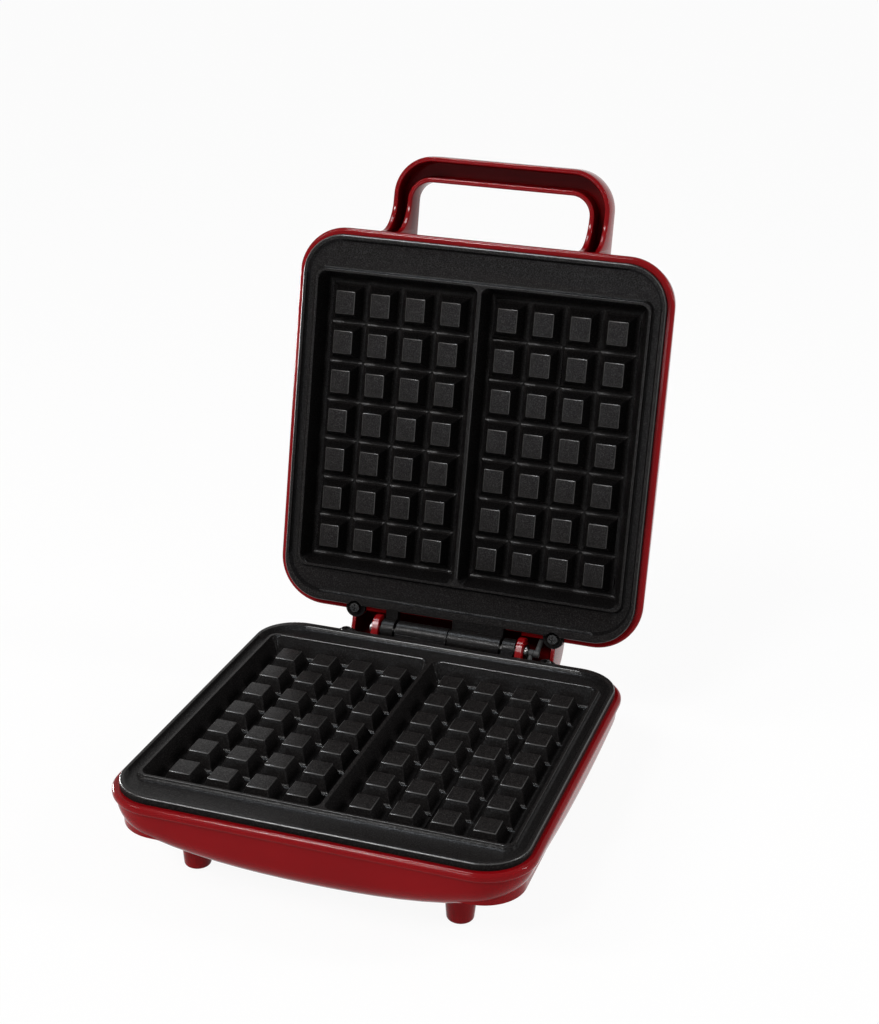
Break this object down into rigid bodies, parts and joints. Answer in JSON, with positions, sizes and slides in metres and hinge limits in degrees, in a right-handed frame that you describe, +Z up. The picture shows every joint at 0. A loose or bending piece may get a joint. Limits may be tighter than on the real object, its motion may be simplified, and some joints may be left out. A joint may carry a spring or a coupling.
{
  "type": "belgian waffle maker",
  "caption": "Countertop waffle maker with two cast grid plates in plastic shells, a hinged lid standing open and a loop handle.",
  "frame": {"origin": "on the worktop, under the middle of the lower grid plate", "axes": "+X to the user's right, +Y away from the user towards the hinge, +Z up"},
  "size_m": [0.239, 0.3504, 0.3432],
  "materials": {
    "red_shell": "polished heat-resistant moulding",
    "non_stick": "cast, black non-stick coating, satin",
    "screw_steel": "dull zinc",
    "pin_steel": "ground",
    "element_sheath": "dark annealed sheath",
    "sheet_steel": "pressed sheet",
    "shield_aluminium": "pressed sheet, bright",
    "white_ceramic": "unglazed",
    "black_rubber": "matte",
    "wire_sleeve": "braided glass sleeve",
    "red_lens": "clear tinted moulding",
    "green_lens": "clear tinted moulding",
    "lamp_glass": "clear",
    "black_nylon": "moulded"
  },
  "bodies": {
    "base": {"base_housing": "red_shell", "lower_plate": "non_stick", "lower_plate_screws": "screw_steel", "hinge_pin": "pin_steel", "hinge_pin_caps": "screw_steel", "lower_element": "element_sheath", "lower_clamps": "sheet_steel", "lower_small_screws": "screw_steel", "lower_heat_shield": "shield_aluminium", "lower_shield_screws": "screw_steel", "thermostat": "white_ceramic", "terminal_block": "white_ceramic", "terminal_block_screws": "screw_steel", "cord_bush": "black_rubber", "base_wiring": "wire_sleeve", "base_wire_guide": "black_rubber", "feet": "red_shell", "foot_pads": "black_rubber"},
    "lid": {"lid_housing": "red_shell", "upper_plate": "non_stick", "upper_plate_screws": "screw_steel", "upper_element": "element_sheath", "upper_clamps": "sheet_steel", "upper_small_screws": "screw_steel", "upper_heat_shield": "shield_aluminium", "upper_shield_screws": "screw_steel", "thermal_fuse": "sheet_steel", "fuse_strap": "sheet_steel", "power_lens": "red_lens", "power_lamp": "lamp_glass", "ready_lens": "green_lens", "ready_lamp": "lamp_glass", "lamp_holder": "black_nylon", "lamp_holder_screws": "screw_steel", "lid_wiring": "wire_sleeve", "lid_wire_guide": "black_rubber"}
  },
  "joints": [
    {"name": "lid_hinge", "type": "hinge", "parent": "base", "child": "lid", "pos_m": [0, 0.129, 0.0557], "axis": [1, 0, 0], "range_deg": [0, 100]}
  ]
}
